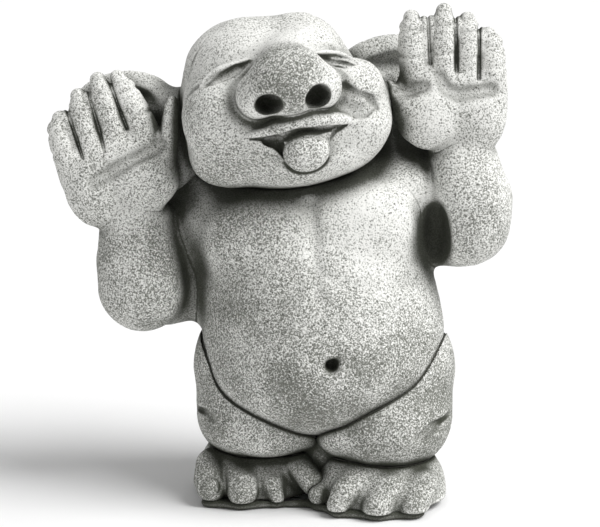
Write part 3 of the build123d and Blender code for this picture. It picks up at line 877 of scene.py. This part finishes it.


def wash_and_shade_of(form, points, normals):
    """How much dark wash and painted shade lie on each point, and how much paler than the rest the stone is
    painted there by rubbing and by painted light and shade.
    """
    # Dark wash in the fine creases, and painted shade in the wider hollows of the whole figure.
    fine = shut_in(form, points, normals, 3.0)
    middle = shut_in(rough_figure, points, normals, 9.0)
    deep = shut_in(rough_figure, points, normals, 16.0)
    wide = shut_in(rough_figure, points, normals, 28.0)
    # Painted shadow under overhanging stone.
    overhung = np.clip(-rough_figure(points + np.array(OVERHANG_REACH)) / 4, 0, 1)
    overhang_shadow = overhung * np.clip((normals[:, 2] + 0.5) / 0.4, 0, 1)
    wash_and_shade = 0.65 * fine + 0.3 * middle + 0.3 * deep + 0.45 * wide + 0.25 * overhang_shadow - 0.08
    # Painted shade on the slab and on stone just above its top.
    slab_shade = np.clip((SLAB_TOP + 2 - points[:, 2]) / 4, 0, 1)
    wash_and_shade = np.clip(wash_and_shade + 0.6 * slab_shade, 0, 1)
    # Paler on thin rubbed ridges, and painted light: paler higher up, darker lower down.
    rubbed = np.clip(2 * (1 + evaluate(form, points - normals * RIDGE) / RIDGE) - 0.2, 0, 1)
    wear_and_painted_light = 0.35 * rubbed * (1 - wide) + np.clip((points[:, 2] - LIGHT_FALL_HEIGHT) / 500, -0.3, 0.2)
    # Painted light and shade in patches.
    for middle_of, radius, tone in PAINTED_LIGHT_PATCHES:
        wear_and_painted_light = wear_and_painted_light + tone * np.exp(-((length(points - np.array(middle_of)) / radius) ** 2))
    return wash_and_shade, wear_and_painted_light


LUMPS = ((0.5, 22.0, 5), (0.22, 7.0, 6))  # height, size and seed of the casting's unevenness


def add_attribute(mesh, name, values):
    attribute = mesh.attributes.new(name, "FLOAT", "POINT")
    attribute.data.foreach_set("value", values.astype(np.float32))


def add_piece(node, form, whole, voxel, material, smooth_lumps):
    """Meshes a form, stores its wash with painted shade and its rubbing with painted light and shade, and puts
    it in the CAD section's place.
    """
    points, quads = largest(*surface(form, *node_room(node), voxel))
    mesh = bpy.data.meshes.new(node)
    mesh.vertices.add(len(points))
    mesh.vertices.foreach_set("co", points.astype(np.float32).ravel())
    mesh.loops.add(quads.size)
    mesh.loops.foreach_set("vertex_index", quads.astype(np.int32).ravel())
    mesh.polygons.add(len(quads))
    mesh.polygons.foreach_set("loop_start", np.arange(0, quads.size, 4, dtype=np.int32))
    mesh.update(calc_edges=True)
    normals = np.zeros(len(points) * 3, np.float32)
    mesh.vertex_normals.foreach_get("vector", normals)
    normals = normals.reshape(-1, 3)
    wash_and_shade, wear_and_painted_light = wash_and_shade_of(whole, points, normals)
    if smooth_lumps:
        uneven = sum(height * lumps(points, size, seed) for height, size, seed in LUMPS)
        points = points + normals * uneven[:, None]
    points[:, 2] = np.maximum(points[:, 2], 0)
    mesh.vertices.foreach_set("co", (points * MM).astype(np.float32).ravel())
    # The dark wash with painted shade, and the rubbing with painted light and shade, are kept for the shader.
    add_attribute(mesh, "wash_and_shade", wash_and_shade)
    add_attribute(mesh, "wear_and_painted_light", wear_and_painted_light)
    mesh.materials.append(material)
    mesh.shade_smooth()
    mesh.update()
    piece = bpy.data.objects.new(f"{node}_stone" if smooth_lumps else f"{node}_fill", mesh)
    bpy.context.collection.objects.link(piece)
    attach(piece, "root")
    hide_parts(node)
    return piece


# Materials


class Shader:
    """A short way to add nodes to a material."""

    def __init__(self, name):
        self.material = bpy.data.materials.new(name)
        self.material.use_nodes = True
        self.tree = self.material.node_tree
        self.surface = self.tree.nodes["Principled BSDF"]

    def node(self, kind, **inputs):
        made = self.tree.nodes.new(kind)
        for key, value in inputs.items():
            self.set(made, key.replace("_", " "), value)
        return made

    def set(self, node, key, value):
        socket = node.inputs[int(key) if key.isdigit() else key]
        if isinstance(value, bpy.types.NodeSocket):
            self.tree.links.new(value, socket)
        else:
            socket.default_value = value

    def noise(self, scale, detail, rough=0.5):
        where = self.tree.nodes.new("ShaderNodeTexCoord").outputs["Object"]
        made = self.node("ShaderNodeTexNoise", Vector=where, Scale=scale, Detail=detail, Roughness=rough)
        return made.outputs["Fac"]

    def pits(self, scale):
        where = self.tree.nodes.new("ShaderNodeTexCoord").outputs["Object"]
        return self.node("ShaderNodeTexVoronoi", Vector=where, Scale=scale)

    def attribute(self, name):
        made = self.tree.nodes.new("ShaderNodeAttribute")
        made.attribute_name = name
        return made.outputs["Fac"]

    def maths(self, operation, a, b):
        made = self.tree.nodes.new("ShaderNodeMath")
        made.operation = operation
        self.set(made, "0", a)
        self.set(made, "1", b)
        return made.outputs["Value"]

    def ramp(self, value, low, high, out_low=0.0, out_high=1.0):
        made = self.node("ShaderNodeMapRange", Value=value)
        for key, number in (("From Min", low), ("From Max", high), ("To Min", out_low), ("To Max", out_high)):
            made.inputs[key].default_value = number
        return made.outputs["Result"]

    def mix(self, factor, a, b):
        made = self.tree.nodes.new("ShaderNodeMix")
        made.data_type = "RGBA"
        self.set(made, "0", factor)
        self.set(made, "6", a)
        self.set(made, "7", b)
        return made.outputs[2]


PALE = (0.84, 0.84, 0.81, 1)
GREY = (0.16, 0.165, 0.145, 1)
# Colour of the dark wash and of the painted shade.
DARK_WASH_AND_SHADE = (0.036, 0.039, 0.027, 1)
PORE = (0.05, 0.052, 0.042, 1)


def stone_material():
    """Cast concrete: pale sandy highs, mottled grey, dark wash in the creases with painted shade in hollows and
    under overhangs, painted light and shade by height and in patches, and open air pores.
    """
    shader = Shader("cast_stone")
    wash_and_shade, wear_and_painted_light = shader.attribute("wash_and_shade"), shader.attribute("wear_and_painted_light")
    cloud = shader.noise(26, 4)
    grain = shader.noise(700, 2)
    sand = shader.noise(1500, 1)
    # Tone: random clouds, rubbed ridges, and painted light and shade.
    tone = shader.maths("ADD", shader.ramp(cloud, 0.35, 0.65, 0.3, 0.75), wear_and_painted_light)
    coarse = shader.ramp(grain, 0.3, 0.7, -0.8, 0.8)
    speckle = shader.maths("ADD", coarse, shader.ramp(sand, 0.3, 0.7, -0.6, 0.6))
    colour = shader.mix(shader.ramp(shader.maths("ADD", tone, speckle), 0.0, 1.0), GREY, PALE)
    # Dark wash and painted shade, broken up by the grain.
    broken = shader.maths("ADD", wash_and_shade, shader.ramp(grain, 0.3, 0.7, -0.18, 0.18))
    colour = shader.mix(shader.ramp(broken, 0.15, 0.85, 0.0, 0.95), colour, DARK_WASH_AND_SHADE)
    cells = shader.pits(300)
    chosen = shader.ramp(cells.outputs["Color"], 0.55, 0.6)
    hole = shader.maths("MULTIPLY", shader.ramp(cells.outputs["Distance"], 0.28, 0.16), chosen)
    colour = shader.mix(shader.maths("MULTIPLY", hole, 0.75), colour, PORE)
    shader.set(shader.surface, "Base Color", colour)
    shader.set(shader.surface, "Roughness", shader.ramp(grain, 0.3, 0.7, 0.82, 0.97))
    shader.set(shader.surface, "Specular IOR Level", 0.25)
    height = shader.maths("SUBTRACT", shader.maths("ADD", grain, shader.maths("MULTIPLY", sand, 0.5)), hole)
    bump = shader.node("ShaderNodeBump", Strength=0.45, Distance=0.0009, Height=height)
    shader.set(shader.surface, "Normal", bump.outputs["Normal"])
    return shader.material


def mortar_material():
    shader = Shader("mortar")
    grain = shader.noise(500, 3)
    shader.set(shader.surface, "Base Color", shader.mix(grain, (0.03, 0.032, 0.024, 1), (0.12, 0.12, 0.1, 1)))
    shader.set(shader.surface, "Roughness", 0.95)
    bump = shader.node("ShaderNodeBump", Strength=0.4, Distance=0.0008, Height=grain)
    shader.set(shader.surface, "Normal", bump.outputs["Normal"])
    return shader.material


def steel_material():
    shader = Shader("bar_steel")
    streaks = shader.noise(180, 3)
    shader.set(shader.surface, "Base Color", shader.mix(streaks, (0.2, 0.17, 0.15, 1), (0.35, 0.34, 0.33, 1)))
    shader.set(shader.surface, "Metallic", 1.0)
    shader.set(shader.surface, "Roughness", shader.ramp(streaks, 0.3, 0.7, 0.35, 0.6))
    return shader.material


def floor_material():
    shader = Shader("studio_floor")
    shader.set(shader.surface, "Base Color", (0.9, 0.9, 0.9, 1))
    shader.set(shader.surface, "Roughness", 0.9)
    return shader.material


STONE, MORTAR, STEEL = stone_material(), mortar_material(), steel_material()
for node in FORMS:
    add_piece(node, section(node), uncut(node), VOXELS[kind(node)], STONE, True)
for node, form in BEDS.items():
    add_piece(node, form, form, BED_VOXEL, MORTAR, False)
for node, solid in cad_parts.items():
    if not solid.hide_render:
        solid.data.materials.clear()
        solid.data.materials.append(STEEL)


# Studio


FLOOR_SIZE = 12
FLOOR_DROP = 0.0005


def add_floor():
    bpy.ops.mesh.primitive_plane_add(size=FLOOR_SIZE, location=(0, 0, -FLOOR_DROP))
    floor = bpy.context.object
    floor.name = "studio_floor"
    floor.data.materials.append(floor_material())


CAMERA_TARGET = Vector((-0.0202, 0.002, 0.197))
CAMERA_DISTANCE = 1.8
CAMERA_LENS = 129.3


def add_camera():
    data = bpy.data.cameras.new("photo_camera")
    data.lens = CAMERA_LENS
    data.dof.use_dof = False
    camera = bpy.data.objects.new("photo_camera", data)
    rise = np.radians(CAMERA_RISE)
    back = Vector((0.0, -np.cos(rise), np.sin(rise)))
    camera.location = CAMERA_TARGET + back * CAMERA_DISTANCE
    camera.rotation_euler = (-back).to_track_quat("-Z", "Y").to_euler()
    bpy.context.collection.objects.link(camera)
    bpy.context.scene.camera = camera


WORLD_STRENGTH = 0.42
KEY_ENERGY = 3.15
KEY_SPREAD = 35  # degrees
KEY_DIRECTION = Vector((-0.65, 0.3, -0.85))


def light_studio():
    world = bpy.data.worlds.new("studio")
    bpy.context.scene.world = world
    world.use_nodes = True
    world.node_tree.nodes["Background"].inputs["Color"].default_value = (1, 1, 1, 1)
    world.node_tree.nodes["Background"].inputs["Strength"].default_value = WORLD_STRENGTH
    data = bpy.data.lights.new("key", "SUN")
    data.energy = KEY_ENERGY
    data.angle = np.radians(KEY_SPREAD)
    key = bpy.data.objects.new("key", data)
    key.rotation_euler = KEY_DIRECTION.to_track_quat("-Z", "Y").to_euler()
    bpy.context.collection.objects.link(key)
    bpy.context.scene.view_settings.view_transform = "Standard"


add_floor()
add_camera()
light_studio()
